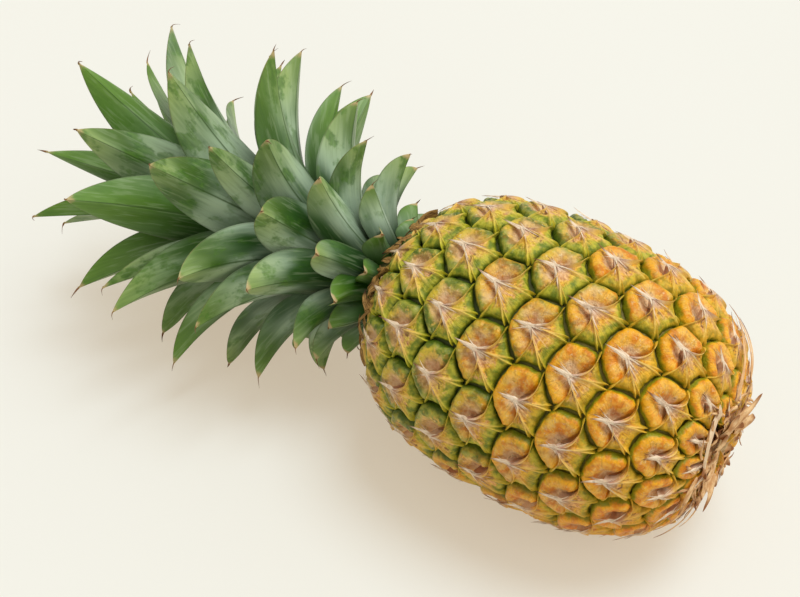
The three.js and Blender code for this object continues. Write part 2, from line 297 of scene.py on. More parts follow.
def pad_material():
    s = Shader("eye_pad")
    ripe, rho, spin, rand = s.attr("ripe"), s.attr("rho"), s.attr("spin"), s.attr("rand")
    broad = s.noise(5.5, 3, 0.55, warp=0.5)
    blotch = s.noise(4.2, 2, 0.5, warp=0.3)
    fine = s.noise(0.75, 3, 0.65)
    drift = s.math("SUBTRACT", broad, 0.5)
    wobble = s.scaled(drift, 0.6, rho)
    grown = s.span(s.scaled(drift, 1.3, ripe), 0.3, 0.95)
    light = s.span(blotch, 0.34, 0.64)
    hollow = s.mix(light, s.mix(grown, (226, 176, 126), (212, 150, 96)), (252, 218, 168))
    young_middle = s.mix(light, (176, 138, 72), (238, 198, 122))
    middle = s.mix(grown, young_middle, s.mix(light, (230, 136, 14), (252, 192, 74)))
    young_rim = s.mix(light, (88, 110, 26), (166, 168, 60))
    rim = s.mix(grown, young_rim, s.mix(light, (226, 138, 2), (255, 186, 16)))
    colour = s.mix(s.span(wobble, 0.26, 0.50), hollow, middle)
    colour = s.mix(s.span(s.scaled(grown, -0.12, wobble), 0.50, 0.72), colour, rim)
    centre = s.math("ABSOLUTE", s.scaled(rand, 1.6, s.math("SUBTRACT", spin, 0.9)))
    warm = s.times(s.span(centre, 0.95, 0.25), s.span(rho, 0.42, 0.6))
    warm = s.times(warm, s.span(rho, 0.9, 0.72))
    warm_tone = s.mix(grown, (222, 192, 50), (246, 176, 24))
    colour = s.mix(s.times(warm, s.span(blotch, 0.34, 0.52, 0.2, 0.85)), colour, warm_tone)
    # Brown patches, denser towards the pad's middle and on riper eyes
    brown_patch = s.span(s.noise(4.2, 4, 0.66, warp=0.5), 0.56, 0.68)
    brown_patch = s.times(brown_patch, s.span(rho, 0.85, 0.4, 0.2, 0.55))
    brown_patch = s.times(brown_patch, s.span(grown, 0.0, 0.6, 0.45, 1.0))
    colour = s.mix(brown_patch, colour, (140, 86, 42))
    sunny = s.times(s.span(s.noise(2.8, 2, 0.5), 0.55, 0.66), s.span(rho, 0.3, 0.45, 0.0, 0.6))
    colour = s.mix(s.times(sunny, s.span(rho, 0.88, 0.74)), colour, (244, 196, 84))
    speck = s.span(s.noise(1.3, 3, 0.6, warp=0.6), 0.58, 0.70)
    speck = s.times(speck, s.span(rho, 0.95, 0.6, 0.1, 0.5))
    colour = s.mix(speck, colour, (244, 226, 176))
    pleats = s.noise(1.0, 2, 0.5, s.join(s.times(spin, 14.0), s.times(rho, 2.4), rand))
    pleated = s.times(s.span(pleats, 0.50, 0.68), s.span(grown, 0.1, 0.9, 0.08, 0.26))
    colour = s.mix(pleated, colour, (158, 96, 30))
    edge = s.mix(s.span(ripe, 0.4, 1.0), (78, 104, 18), (148, 148, 22))
    colour = s.mix(s.span(s.scaled(drift, 0.3, rho), 0.86, 0.97), colour, edge)
    # Painted shade: the pad darkens where it turns down under the bract's free edges
    turned = s.math("ABSOLUTE", s.math("SUBTRACT", spin, 0.2))
    colour = s.mix(s.span(turned, 1.9, 2.2, 0.0, 0.6), colour, (120, 66, 26))
    # painted warm shade on the eyes that face down
    colour = s.with_underside_shade(colour)
    lumps = s.scaled(s.noise(2.4, 2, 0.5), 1.6, s.times(fine, 0.5))
    s.bump(s.scaled(pleats, 0.4, lumps), 0.8, 0.7)
    return s.finish(colour, s.span(fine, 0.3, 0.7, 0.32, 0.5), 0.42)


def bract_material():
    s = Shader("eye_bract")
    ripe, out, fan, rib, rand = (s.attr(name) for name in ("ripe", "out", "fan", "rib", "rand"))
    shift = s.times(rand, 31.0)
    threads = s.noise(1.0, 3, 0.6, s.join(s.times(fan, 38.0), s.times(out, 1.5), shift))
    strands = s.noise(1.0, 2, 0.5, s.join(s.times(fan, 16.0), s.times(out, 1.0), shift))
    patch = s.noise(4.6, 4, 0.6, warp=0.6)
    fine = s.noise(1.2, 3, 0.6)
    drift = s.math("SUBTRACT", patch, 0.5)
    golden = s.span(s.scaled(drift, 1.8, out), 0.28, 0.66)
    pink = s.mottle(fine, (208, 146, 92), (248, 198, 140))
    gold = s.mottle(fine, (218, 146, 22), (250, 196, 58))
    lemon = s.mottle(fine, (208, 176, 42), (244, 216, 88))
    web = s.mix(golden, pink, s.mix(s.span(ripe, 0.15, 0.7), lemon, gold))
    web = s.mix(s.span(threads, 0.54, 0.68, 0.0, 0.6), web, (132, 74, 36))
    web = s.mix(s.span(strands, 0.5, 0.36, 0.0, 0.4), web, (242, 204, 140))
    bruise = s.span(s.noise(4.4, 4, 0.62, warp=0.7), 0.57, 0.65, 0.0, 0.75)
    bruise = s.times(bruise, s.span(out, 0.3, 0.5))
    web = s.mix(bruise, web, (98, 52, 42))
    soft = s.noise(3.0, 2, 0.5)
    young = s.mottle(soft, (116, 132, 22), (196, 190, 52))
    grown = s.mottle(soft, (192, 146, 16), (246, 184, 38))
    edge = s.mix(s.span(s.scaled(drift, 1.0, ripe), 0.5, 1.2), young, grown)
    colour = s.mix(s.span(s.scaled(drift, 0.7, out), 0.60, 0.84), web, edge)
    ribs = s.mix(s.span(out, 0.15, 0.5), (248, 222, 178), (244, 204, 104))
    ribs = s.mix(s.span(out, 0.62, 0.95), ribs, s.mix(ripe, (214, 208, 52), (236, 192, 60)))
    colour = s.mix(s.times(rib, 0.95), colour, ribs)
    pale = s.mix(s.span(threads, 0.4, 0.6), (250, 230, 208), (192, 140, 112))
    colour = s.mix(s.span(s.scaled(drift, 0.3, out), 0.14, 0.42, 1.0, 0.0), colour, pale)
    low = s.mix(ripe, (66, 90, 14), (126, 128, 20))
    colour = s.mix(s.times(s.span(out, 0.93, 1.0), s.span(rib, 0.5, 0.2)), colour, low)
    # painted warm shade on the eyes that face down
    colour = s.with_underside_shade(colour)
    s.bump(s.math("ADD", threads, s.times(fine, 0.6)), 0.8, 0.8)
    return s.finish(colour, 0.5, 0.4)


def papery_material(name, tone, light, dark, grain=4.5):
    """Dry papery skin, browner towards the point. Parts with a rand under 0 stay paler."""
    s = Shader(name)
    along, rand, across = s.attr("along"), s.attr("rand"), s.attr("across")
    shift = s.times(rand, 17.0)
    fibres = s.noise(1.0, 3, 0.6, s.join(s.times(across, grain), s.times(along, 3.0), shift))
    patch = s.noise(3.5, 4, 0.62, warp=0.5)
    browned = s.span(rand, -0.8, 0.0)
    colour = s.mottle(fibres, tone, light)
    colour = s.mix(browned, s.mix(0.6, colour, (244, 228, 200)), colour)
    brown = s.math("MAXIMUM", s.span(patch, 0.52, 0.68, 0.0, 0.45),
                   s.span(s.scaled(rand, 0.35, along), 0.74, 1.14))
    colour = s.mix(s.times(brown, browned), colour, dark)
    s.bump(s.math("ADD", fibres, patch), 0.4, 0.6)
    return s.finish(colour, 0.75, 0.25)


def leaf_material():
    s = Shader("crown_leaf")
    t, u, inner, rand, deep = (s.attr(name) for name in ("along", "across", "inner", "rand", "deep"))
    side, run, small = s.attr("side"), s.attr("run"), s.attr("small")
    off = s.math("ABSOLUTE", u)
    shift = s.times(rand, 400.0)
    streaks = s.join(side, s.times(run, 0.08), shift)
    patchy = s.join(side, s.times(run, 0.3), shift)
    veins = s.noise(1.1, 2, 0.5, streaks)
    cloud = s.noise(13.0, 1.6, 0.5, patchy)
    blot = s.noise(7.0, 4, 0.6, s.join(side, s.times(run, 0.55), shift))
    fleck = s.noise(1.5, 3, 0.6, patchy)
    bloom = s.mix(s.span(cloud, 0.36, 0.62), (46, 84, 30), (184, 208, 180))
    tip_tone = s.mix(s.span(cloud, 0.35, 0.7), (104, 136, 50), (158, 182, 104))
    back = s.mix(s.span(s.scaled(s.math("SUBTRACT", cloud, 0.5), 0.6, t), 0.45, 1.05), bloom, tip_tone)
    patches = s.times(s.span(blot, 0.50, 0.62), s.span(t, 0.3, 0.7, 0.1, 0.7))
    back = s.mix(patches, back, s.mottle(fleck, (54, 100, 18), (88, 132, 42)))
    # Painted shade: the back darkens towards the leaf's foot, where the leaves crowd, and the face runs from
    # dark at the foot to light at the tip
    back = s.mix(s.span(t, 0.0, 0.6, 1.0, 0.0), back, (30, 58, 24))
    face = s.mix(s.span(t, 0.25, 1.05), (30, 74, 4), (108, 150, 48))
    face = s.mix(s.span(cloud, 0.38, 0.62, 0.0, 0.5), face, (72, 118, 34))
    face = s.mix(s.times(inner, 0.5), face, (110, 150, 66))
    green = s.math("MAXIMUM", inner, deep)
    colour = s.mix(green, back, face)
    colour = s.mix(s.span(veins, 0.5, 0.68, 0.0, 0.22), colour, s.mix(green, (72, 100, 62), (56, 96, 24)))
    colour = s.mix(s.span(veins, 0.48, 0.34, 0.0, 0.16), colour, (190, 208, 166))
    keel = s.times(s.span(off, 0.0, 0.05, 0.8, 0.0), s.math("SUBTRACT", 1.0, inner))
    colour = s.mix(keel, colour, (58, 86, 34))
    groove = s.times(s.span(off, 0.0, 0.3, 0.6, 0.0), inner)
    colour = s.mix(groove, colour, (54, 104, 14))
    rusty = s.mix(s.span(fleck, 0.4, 0.6), (84, 92, 44), (158, 126, 68))
    margin = s.times(s.span(off, 0.95, 0.99), s.span(t, 0.3, 0.95, 0.25, 0.55))
    colour = s.mix(margin, colour, s.mix(s.span(t, 0.75, 0.97), (70, 86, 44), rusty))
    tip = s.scaled(s.math("SUBTRACT", fleck, 0.5), 0.06, s.scaled(small, 0.06, t))
    tip = s.span(tip, 0.96, 1.0)
    colour = s.mix(tip, colour, (192, 170, 118))
    s.bump(veins, 0.3, 0.3)
    return s.finish(colour, s.span(cloud, 0.3, 0.7, 0.36, 0.5), 0.36)


def hook_material():
    s = Shader("leaf_hook")
    t = s.attr("along")
    colour = s.ramp(t, [(0.0, (150, 128, 60)), (0.35, (150, 94, 48)), (1.0, (112, 82, 62))])
    grain = s.noise(0.8, 3)
    colour = s.mix(s.span(grain, 0.4, 0.7, 0.0, 0.4), colour, (96, 62, 36))
    s.bump(grain, 0.2, 0.5)
    return s.finish(colour, 0.6)


def stem_material():
    s = Shader("crown_stem_green")
    fibres = s.noise(1.4, 4, 0.6, s.place((0.25, 1, 1)))
    colour = s.mix(fibres, (70, 72, 26), (136, 132, 70))
    s.bump(fibres, 0.5, 0.6)
    return s.finish(colour, 0.7)


def stalk_material():
    s = Shader("cut_stalk_end")
    spots = s.noise(1.1, 4, 0.65)
    rings = s.noise(2.6, 3, 0.6)
    colour = s.mottle(rings, (176, 140, 92), (206, 176, 126))
    colour = s.mix(s.span(spots, 0.52, 0.66, 0.0, 0.8), colour, (104, 72, 42))
    s.bump(spots, 0.8, 0.8)
    return s.finish(colour, 0.85, 0.2)


# ---- Fruit outline ----
def outline_radius(x):
    crown = x < WIDEST_AT
    power = np.where(crown, CROWN_SHOULDER[0], BASE_SHOULDER[0])
    root = np.where(crown, CROWN_SHOULDER[1], BASE_SHOULDER[1])
    span = np.where(crown, WIDEST_AT, FRUIT_LENGTH - WIDEST_AT)
    u = np.minimum(np.abs(x - WIDEST_AT) / span, 1)
    return FRUIT_RADIUS * (1 - u ** power) ** root


# The outline walked from the crown end's middle to the base end's
WALK_STEPS = 4000
walk_x = FRUIT_LENGTH * 0.5 * (1 - np.cos(np.pi * np.arange(WALK_STEPS + 1) / WALK_STEPS))
walk_r = outline_radius(walk_x)
walk = np.concatenate([[0], np.cumsum(np.hypot(np.diff(walk_x), np.diff(walk_r)))])
WALK_END = float(walk[-1])
fine_walk = np.linspace(0, WALK_END, 1200)
fine_x, fine_r = np.interp(fine_walk, walk, walk_x), np.interp(fine_walk, walk, walk_r)
slope_x, slope_r = np.gradient(fine_x, fine_walk), np.gradient(fine_r, fine_walk)
slope_size = np.hypot(slope_x, slope_r)


def on_fruit(distance, angle, height):
    """Points by the distance walked along the outline, the angle from straight up and the height over it."""
    d = np.clip(distance, 0, WALK_END)
    x, r = np.interp(d, fine_walk, fine_x), np.interp(d, fine_walk, fine_r)
    nx = -np.interp(d, fine_walk, slope_r / slope_size)
    nr = np.interp(d, fine_walk, slope_x / slope_size)
    radius = np.maximum(r + height * nr, 0.3)
    points = np.stack([x + height * nx, radius * np.sin(angle), radius * np.cos(angle)], -1)
    points[..., 2] = rest_on_ground(points[..., 2])
    return points


def rest_on_ground(z):
    """Softly flattens what the weight presses on the ground."""
    ground = -AXIS_HEIGHT + GROUND_CLEARANCE
    over = np.minimum((z - ground - GROUND_SOFTNESS) / GROUND_SOFTNESS, 0)
    return np.where(z < ground + GROUND_SOFTNESS, ground + GROUND_SOFTNESS * np.exp(over), z)


# ---- Meshes ----
def to_row(points):
    p = np.array(points, float).reshape(-1, 3)
    return (p + np.array([-REST_X, 0, AXIS_HEIGHT])) / 1000


class Shape:
    """Points, faces and per-point values of one piece, gathered from many parts."""

    def __init__(self):
        self.points, self.faces, self.values, self.count = [], [], {}, 0

    def add(self, points, faces, **values):
        points = np.asarray(points, float).reshape(-1, 3)
        self.points.append(points)
        for face_set in faces if isinstance(faces, list) else [faces]:
            self.faces.append(np.asarray(face_set) + self.count)
        for name, value in values.items():
            flat = np.asarray(value, float).reshape(-1)
            self.values.setdefault(name, []).append(np.broadcast_to(flat, (len(points),)))
        self.count += len(points)

    def piece(self, name, material, slot, sharp=50):
        mesh = bpy.data.meshes.new(name)
        points = to_row(np.concatenate(self.points))
        mesh.from_pydata(points.tolist(), [], [face for faces in self.faces for face in faces.tolist()])
        for key, parts in self.values.items():
            layer = mesh.attributes.new(key, "FLOAT", "POINT")
            layer.data.foreach_set("value", np.concatenate(parts).astype(np.float32))
        mesh.materials.append(material)
        mesh.validate()
        mesh.shade_smooth()
        mesh.set_sharp_from_angle(angle=math.radians(sharp))
        obj = new_object(name, mesh)
        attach(obj, "root")
        return obj


def grid_faces(rows, columns, wrap=False, flip=False):
    """Quads over a grid of points stored row by row. wrap joins the last column to the first."""
    r, c = np.meshgrid(np.arange(rows - 1), np.arange(columns - (0 if wrap else 1)), indexing="ij")
    here, right, down = r * columns + c, r * columns + (c + 1) % columns, columns
    quads = np.stack([here, right, right + down, here + down], -1).reshape(-1, 4)
    return quads[:, ::-1] if flip else quads


def tube_faces(rows, columns, flip=False):
    """Faces of a closed tube stored ring by ring, with a flat cap at each end."""
    ring = np.arange(columns)[None, :]
    last = (rows - 1) * columns + ring
    caps = [ring, last[:, ::-1]] if flip else [ring[:, ::-1], last]
    return [grid_faces(rows, columns, wrap=True, flip=flip)] + caps


def round_angles(count):
    return np.linspace(0, 2 * math.pi, count, endpoint=False)[None, :]


def unit(vectors):
    return vectors / np.linalg.norm(vectors, axis=1)[:, None]


def flat_like(grid, values):
    """One value for each point of a grid, in a row."""
    return np.broadcast_to(values, grid.shape).reshape(-1)


def smooth(t):
    t = np.clip(t, 0, 1)
    return t * t * (3 - 2 * t)


def soft_knots(t, places, heights):
    """A smooth curve through knots."""
    fine = np.linspace(places[0], places[-1], 400)
    rough = np.interp(fine, places, heights)
    kernel = np.hanning(45)
    padded = np.pad(rough, 22, mode="edge")
    return np.interp(t, fine, np.convolve(padded, kernel / kernel.sum(), "valid"))


# ---- Eyes ----
def eye_step(jump):
    turn = EYE_TURN * jump
    return np.array([EYE_STEP * jump, (turn - 2 * math.pi * round(turn / (2 * math.pi))) * FRUIT_RADIUS])


JUMPS = [STEEP, SHALLOW, SHALLOW - STEEP, -STEEP, -SHALLOW, STEEP - SHALLOW]
STEPS = [eye_step(j) for j in JUMPS]
# Corners of an eye's cell, unrolled at the widest radius, in millimetres towards the base and round
CORNERS = [(STEPS[i] + STEPS[(i + 1) % 6]) / 3 for i in range(6)]
EDGE_BULGE = 0.8


def edge_points(i, count):
    """The cell's edge from corner i to the next, bulging out on the crown side and in on the base side."""
    a, b = CORNERS[i], CORNERS[(i + 1) % 6]
    t = shares(count)[:, None]
    middle = (a + b) / 2
    side = -1 if i in (0, 4, 5) else 1
    outward = middle / np.linalg.norm(middle)
    return a + (b - a) * t + side * EDGE_BULGE * 4 * t * (1 - t) * outward


OUTLINE_EDGES = [edge_points(i, 40)[:-1] for i in range(6)]
PAD_MIDDLE = np.array([-1.6, 0.3])


def pad_radius():
    """Distance from the pad's middle to the cell's edge by direction, 0 towards the crown."""
    ring = np.concatenate(OUTLINE_EDGES) - PAD_MIDDLE
    angle = np.arctan2(ring[:, 1], -ring[:, 0])
    order = np.argsort(angle)
    angle, size = angle[order], np.hypot(ring[:, 0], ring[:, 1])[order]
    angle = np.concatenate([angle - 2 * math.pi, angle, angle + 2 * math.pi])
    return angle, np.tile(size, 3)


PAD_ANGLES, PAD_SIZES = pad_radius()


class Eye:
    """One eye: its place on the fruit, its size and its ripeness."""

    def __init__(self, n):
        self.distance = FIRST_EYE_AT + EYE_STEP * n
        self.angle = FIRST_EYE_ANGLE + EYE_TURN * n
        self.radius = float(np.interp(self.distance, fine_walk, fine_r))
        self.size = min(1.0, 0.35 + 0.75 * self.radius / FRUIT_RADIUS)
        self.rand = rng.random()
        x = float(np.interp(self.distance, fine_walk, fine_x))
        front = math.cos(self.angle + 0.9)
        self.ripe = float(np.clip((x - 28) / 112 + 0.3 * (rng.random() - 0.5) + 0.1 * front, 0, 1))
        self.up = math.cos(self.angle)
        # How far the eye faces down; this sets the painted warm shade of its pad and bract
        self.warm = float(np.clip(0.35 - self.up, 0, 1))

    def place(self, u, v, height):
        return on_fruit(self.distance + u, self.angle + v / FRUIT_RADIUS, height * self.size)


CORNER_ROUNDING = 0.07
PAD_TURNS, PAD_RINGS = 44, 16
# Heights from the pad's middle to its edge, on its open crown side and where the bract hides it
PAD_RHO = [0, 0.16, 0.36, 0.55, 0.72, 0.86, 0.95, 1.0]
CREST_HEIGHT = [-3.2, -2.6, -0.8, 0.9, 1.5, 0.9, -0.8, -3.3]
HIDDEN_HEIGHT = [-2.4, -2.6, -2.6, -2.7, -2.8, -3.2, -3.6, -4.2]


def add_pad(shape, eye):
    spin = np.linspace(-math.pi, math.pi, PAD_TURNS, endpoint=False)[None, :]
    rho = (np.linspace(0.04, 1, PAD_RINGS) ** 0.85)[:, None]
    size = np.interp(spin, PAD_ANGLES, PAD_SIZES)
    crown = smooth((np.cos(spin - 0.2) + 0.62) / 0.42)
    size = size * (1 - CORNER_ROUNDING * np.exp(-((np.abs(spin - 0.2) - 1.5) / 0.3) ** 2))
    phase = eye.rand * 6.28
    size = size * (0.985 + 0.012 * np.sin(11 * spin + 3 * phase) + 0.008 * np.sin(19 * spin + phase))
    reach = rho * (size - 0.15) * (0.86 + 0.14 * crown)
    u = PAD_MIDDLE[0] - reach * np.cos(spin)
    v = PAD_MIDDLE[1] + reach * np.sin(spin)
    hidden = soft_knots(rho, PAD_RHO, HIDDEN_HEIGHT)
    height = soft_knots(rho, PAD_RHO, CREST_HEIGHT) * crown + hidden * (1 - crown)
    ridge = np.exp(-((rho - 0.66) / 0.26) ** 2) * crown
    height = height + 0.28 * ridge * np.cos(2 * (spin - 0.15))
    height = height - 0.55 * ridge * np.exp(-((spin + 0.05) / 0.2) ** 2) * (0.5 + eye.rand)
    height = height + ridge * 0.09 * np.sin(spin * 23 + phase) + ridge * 0.12 * np.sin(spin * 9 + 2 * phase)
    height = height * (0.9 + 0.25 * eye.rand)
    points = eye.place(u, v, height)
    middle = eye.place(PAD_MIDDLE[:1], PAD_MIDDLE[1:], -3.2)
    under = eye.place(np.zeros(1), np.zeros(1), -5.5)
    all_points = np.concatenate([points.reshape(-1, 3), middle, under])
    ring = np.arange(PAD_TURNS)
    after = (ring + 1) % PAD_TURNS
    n = PAD_RINGS * PAD_TURNS
    last = n - PAD_TURNS
    inner_fan = np.stack([np.full_like(ring, n), after, ring], -1)
    under_fan = np.stack([np.full_like(ring, n + 1), last + ring, last + after], -1)
    shape.add(
        all_points, [grid_faces(PAD_RINGS, PAD_TURNS, wrap=True), inner_fan, under_fan],
        rho=np.concatenate([flat_like(reach, rho), [0, 1]]),
        spin=np.concatenate([flat_like(reach, spin), [0, 0]]),
        ripe=eye.ripe, rand=eye.rand, warm=eye.warm,
    )


BRACT_RAYS, BRACT_STEPS = 57, 16
PEAK = np.array([-3.4, 0.2])  # where the ribs meet, from the eye's middle
# The fan's border, round the cell's base side from one side corner to the other
FAN = np.concatenate([edge_points(4, 60)[:-1], edge_points(5, 60)[:-1], edge_points(0, 60)])
fan_walk = np.concatenate([[0], np.cumsum(np.linalg.norm(np.diff(FAN, axis=0), axis=1))])
fan_walk /= fan_walk[-1]
# Shares of the way round the border where the strong ribs reach the cell's corners, forked at the end
CORNER_SHARES = [0.0, float(fan_walk[59]), float(fan_walk[118]), 1.0]
FORK = 0.032
FORKS = [(c, d) for c in CORNER_SHARES for d in (-FORK, FORK)]
WEB_OUT = [0, 0.12, 0.3, 0.55, 0.8, 0.93, 1.0]
WEB_HEIGHT = [1.7, 1.9, 1.1, 0.3, -0.1, -1.0, -3.0]
RIB_HEIGHT = [1.7, 2.1, 1.9, 1.3, 0.6, -0.1, -1.6]


def ray_places():
    """Places round the fan, closer together near the ribs and the free edges."""
    even = shares(2001)
    density = 0.7 + sum(2.0 * np.exp(-((even - c) / 0.045) ** 2) for c in CORNER_SHARES)
    total = np.cumsum(density)
    return np.interp(np.linspace(total[0], total[-1], BRACT_RAYS), total, even)


RAYS = ray_places()


def bract_sheet(eye, local):
    """Unrolled places, heights and rib shares over the bract's upper side, row by row from its peak."""
    t = RAYS[None, :]
    s = shares(BRACT_STEPS)[:, None]
    border = np.stack([np.interp(RAYS, fan_walk, FAN[:, 0]), np.interp(RAYS, fan_walk, FAN[:, 1])], -1)
    peak = PEAK + local.normal(0, 0.5, 2)
    point = sum(np.exp(-((RAYS - c - d) / 0.012) ** 2) for c, d in FORKS)
    outward = unit(border)
    ragged = np.interp(RAYS, shares(26), local.normal(0, 0.22, 26))
    border = border + outward * (local.uniform(1.3, 2.3) * point - 0.45 + ragged)[:, None]
    free = np.abs(2 * t - 1)
    bow = 4.4 * free ** 3.5
    u = peak[0] + (border[None, :, 0] - peak[0]) * s + bow * 4 * s * (1 - s)
    v = peak[1] + (border[None, :, 1] - peak[1]) * s ** (1 + 0.5 * free ** 3)
    rib = sum(np.exp(-((t - c - d * s ** 2) / (0.016 - 0.005 * s ** 3)) ** 2) for c, d in FORKS)
    rib = np.minimum(rib, 1)
    small = sum(np.exp(-((t - c) / 0.016) ** 2) for c in local.uniform(0.08, 0.92, 3))
    web = soft_knots(s, WEB_OUT, WEB_HEIGHT)
    height = web + (soft_knots(s, WEB_OUT, RIB_HEIGHT) - web) * rib
    height = height + 0.3 * small * np.sin(np.pi * np.minimum(s * 1.1, 1))
    height = height + 0.9 * np.exp(-(np.minimum(t, 1 - t) / 0.045) ** 2) * np.sin(np.pi * s)
    fibres = np.interp(RAYS, shares(36), local.normal(0, 0.17, 36))[None, :]
    height = (height + fibres * np.sin(np.pi * s)) * (0.88 + 0.24 * eye.rand)
    return u, v, height, np.clip(rib + 0.4 * small, 0, 1)


def add_bract(shape, eye):
    u, v, height, rib = bract_sheet(eye, own_random(BRACT_SEED, eye.rand))
    # The loop round the sheet, its thin edge, and a foot hidden beneath
    top = np.arange(BRACT_RAYS)
    right = np.arange(1, BRACT_STEPS) * BRACT_RAYS + BRACT_RAYS - 1
    bottom = (BRACT_STEPS - 1) * BRACT_RAYS + np.arange(BRACT_RAYS - 2, -1, -1)
    left = np.arange(BRACT_STEPS - 2, 0, -1) * BRACT_RAYS
    loop = np.concatenate([top, right, bottom, left])
    flat_u, flat_v, flat_h = (flat_like(height, a) for a in (u, v, height))
    thin = eye.place(flat_u[loop], flat_v[loop], flat_h[loop] - 0.4)
    core = np.array([2.8, 0.2])
    foot_u = core[0] + (flat_u[loop] - core[0]) * 0.72
    foot_v = core[1] + (flat_v[loop] - core[1]) * 0.72
    foot = eye.place(foot_u, foot_v, -4.6)
    under = eye.place(core[:1], core[1:], -5.0)
    n, m = BRACT_RAYS * BRACT_STEPS, len(loop)
    first, second = n + np.arange(m), n + m + np.arange(m)
    ahead = np.roll(np.arange(m), -1)
    edge = np.stack([loop, first, first[ahead], loop[ahead]], -1)
    skirt = np.stack([first, second, second[ahead], first[ahead]], -1)
    fan = np.stack([second, np.full(m, n + 2 * m), second[ahead]], -1)

    def values(a):
        flat = flat_like(height, a)
        return np.concatenate([flat, flat[loop], flat[loop], [0]])

    shape.add(
        np.concatenate([eye.place(u, v, height).reshape(-1, 3), thin, foot, under]),
        [grid_faces(BRACT_STEPS, BRACT_RAYS, flip=True), edge[:, ::-1], skirt[:, ::-1], fan[:, ::-1]],
        out=values(shares(BRACT_STEPS)[:, None]), fan=values(RAYS[None, :]), rib=values(rib),
        ripe=eye.ripe, rand=eye.rand, warm=eye.warm,
    )
    return u, v, height


FULL_SECTION = (np.array([-1, -0.5, 0, 0.5, 1, 0.5, 0, -0.5]), np.array([0, 1, 1, 1, 0, -1, -1, -1]))
THREAD_SECTION = (np.array([-1, 0, 1, 0]), np.array([0, 1, 0, -1]))


def add_blade(shape, line, width, side, thick, curl, section=FULL_SECTION, **values):
    """A thin pointed blade along a line of points; side is the direction across it at each point."""
    line, side = np.asarray(line, float), np.asarray(side, float)
    tangent = unit(np.gradient(line, axis=0))
    side = side - tangent * np.sum(side * tangent, 1)[:, None]
    side /= np.maximum(np.linalg.norm(side, axis=1), 1e-6)[:, None]
    normal = np.cross(tangent, side)
    across, above = section
    rows = []
    for p, n, w, b in zip(line, normal, width, side):
        hollow = curl * w * (across ** 2)[:, None] * n
        half = min(thick, w * 0.8)
        rows.append(p + across[:, None] * w * b + above[:, None] * half / 2 * n + hollow)
    count = len(across)
    points = np.concatenate(rows)
    points[:, 2] = np.maximum(points[:, 2], -AXIS_HEIGHT + GROUND_CLEARANCE)
    along = np.repeat(shares(len(rows)), count)
    shape.add(
        points, tube_faces(len(rows), count), along=along, across=np.tile(across, len(rows)), **values,
    )


def add_tip(shape, eye, sheet):
    """The bract's dry point and frayed fibres leaning towards the crown, and fibres lying on the bract."""
    local = own_random(TIP_SEED, eye.rand)
    u, v, height = sheet
    peak = u[0, 0], v[0, 0]
    # How far the eye faces down: such eyes get longer tips, browner towards the point
    downward = max(-eye.up, 0)
    strands = [(0.0, local.uniform(6, 9.5) + 2 * downward, 1.35, local.uniform(0.8, 5.0))]
    for _ in range(4):
        lean_side, length = local.uniform(-1.0, 1.0), local.uniform(3, 6.5)
        strands.append((lean_side, length, 0.34, local.uniform(0.4, 1.8) + 2 * downward))
    for lean_side, length, half, rise in strands:
        steps = shares(9)
        sway = local.uniform(-0.35, 0.35)
        to_u = peak[0] + 2.6 - (length + 2.6) * steps
        to_v = peak[1] + lean_side * 3.2 * steps + sway * length * steps ** 2
        over = 1.7 + 0.5 * np.sin(np.pi * steps) + rise * steps ** 2.2 - 0.9 * steps
        line = eye.place(to_u, to_v, over)
        side = eye.place(to_u, to_v + 1, over) - line
        taper = np.where(steps < 0.25, 0.6 + 1.6 * steps, 1.0 - ((steps - 0.25) / 0.75) ** 0.8)
        section = FULL_SECTION if half > 0.5 else THREAD_SECTION
        add_blade(shape, line, half * eye.size * taper + 0.06, side, 0.35, 0.35, section,
                  rand=local.random() + 0.7 * downward)
    for ray in local.integers(6, BRACT_RAYS - 6, 5):
        rows = np.arange(0, local.integers(7, 12))
        drift = local.normal(0, 0.5) * shares(len(rows)) ** 2
        to_u, to_v, over = u[rows, ray], v[rows, ray] + drift, height[rows, ray] + 0.22
        line = eye.place(to_u, to_v, over)
        side = np.cross(np.gradient(line, axis=0), eye.place(to_u, to_v, over + 1) - line)
        width = 0.4 * (1 - shares(len(rows)) ** 1.5) + 0.06
        add_blade(shape, line, width, side, 0.4, 0.0, THREAD_SECTION, rand=0.3 * local.random())


def make_rind():
    rows, turns, dish_rows = 150, 200, 12
    d = np.linspace(4, WALK_END - 26, rows)[:, None]
    a = round_angles(turns)
    lump = 0.25 * np.sin(a * 31 + d * 0.7) * np.sin(d * 0.9)
    points = on_fruit(d, a + 0 * d, -3.6 + lump)
    inwards = shares(dish_rows)[1:, None]
    edge = points[-1]
    centre = np.array([FRUIT_LENGTH - BASE_DISH, 0, 0])
    dish = centre + (edge[None] - centre) * (1 - inwards[..., None])
    dish[..., 0] = centre[0] + (edge[None, :, 0] - centre[0]) * (1 - smooth(inwards))
    ripe = np.clip((points[..., 0] - 22) / 118, 0, 1)
    rest = (dish_rows - 1) * turns
    rind = Shape()
    rind.add(
        np.concatenate([points.reshape(-1, 3), dish.reshape(-1, 3)]),
        [grid_faces(rows + dish_rows - 1, turns, wrap=True), np.arange(turns)[None, ::-1]],
        ripe=np.concatenate([ripe.reshape(-1), np.ones(rest)]),
        dry=np.concatenate([np.zeros(rows * turns), np.ones(rest)]),
    )
    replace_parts(rind.piece("fruit_rind", rind_material(), "rind"), "fruit")


